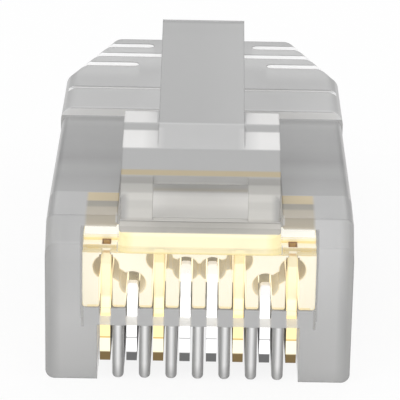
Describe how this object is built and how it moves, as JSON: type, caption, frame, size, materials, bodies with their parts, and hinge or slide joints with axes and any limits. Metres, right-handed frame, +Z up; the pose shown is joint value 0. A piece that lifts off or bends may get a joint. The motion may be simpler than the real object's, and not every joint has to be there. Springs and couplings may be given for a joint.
{
  "type": "rj45 modular plug",
  "caption": "Clear moulded data plug with blade contacts in a comb, a wire guide inside, a sprung latch on top and a tapered, slotted tail.",
  "frame": {"origin": "middle plane of the plug, at the foot of the nose's front face", "axes": "+Y from the nose towards the cable, +Z up through the latch, +X across"},
  "size_m": [0.0118, 0.0214, 0.0107],
  "materials": {
    "clear_shell": "frosted clear polycarbonate",
    "clear_latch": "frosted clear polycarbonate",
    "guide": "pale yellow translucent moulding",
    "gold_contact": "gold plated bronze",
    "silver_contact": "bright plated bronze"
  },
  "bodies": {
    "plug": {"housing": "clear_shell", "wire_guide": "guide", "contact_1": "gold_contact", "contact_2": "silver_contact", "contact_3": "gold_contact", "contact_4": "silver_contact", "contact_5": "silver_contact", "contact_6": "gold_contact", "contact_7": "silver_contact", "contact_8": "gold_contact"},
    "latch": {"latch": "clear_latch"}
  },
  "joints": [
    {"name": "latch_press", "type": "hinge", "parent": "plug", "child": "latch", "pos_m": [0, 0.0007, 0.00598], "axis": [1, 0, 0], "range_deg": [-12, 0], "stiffness_Nm_per_rad": 0.1}
  ]
}
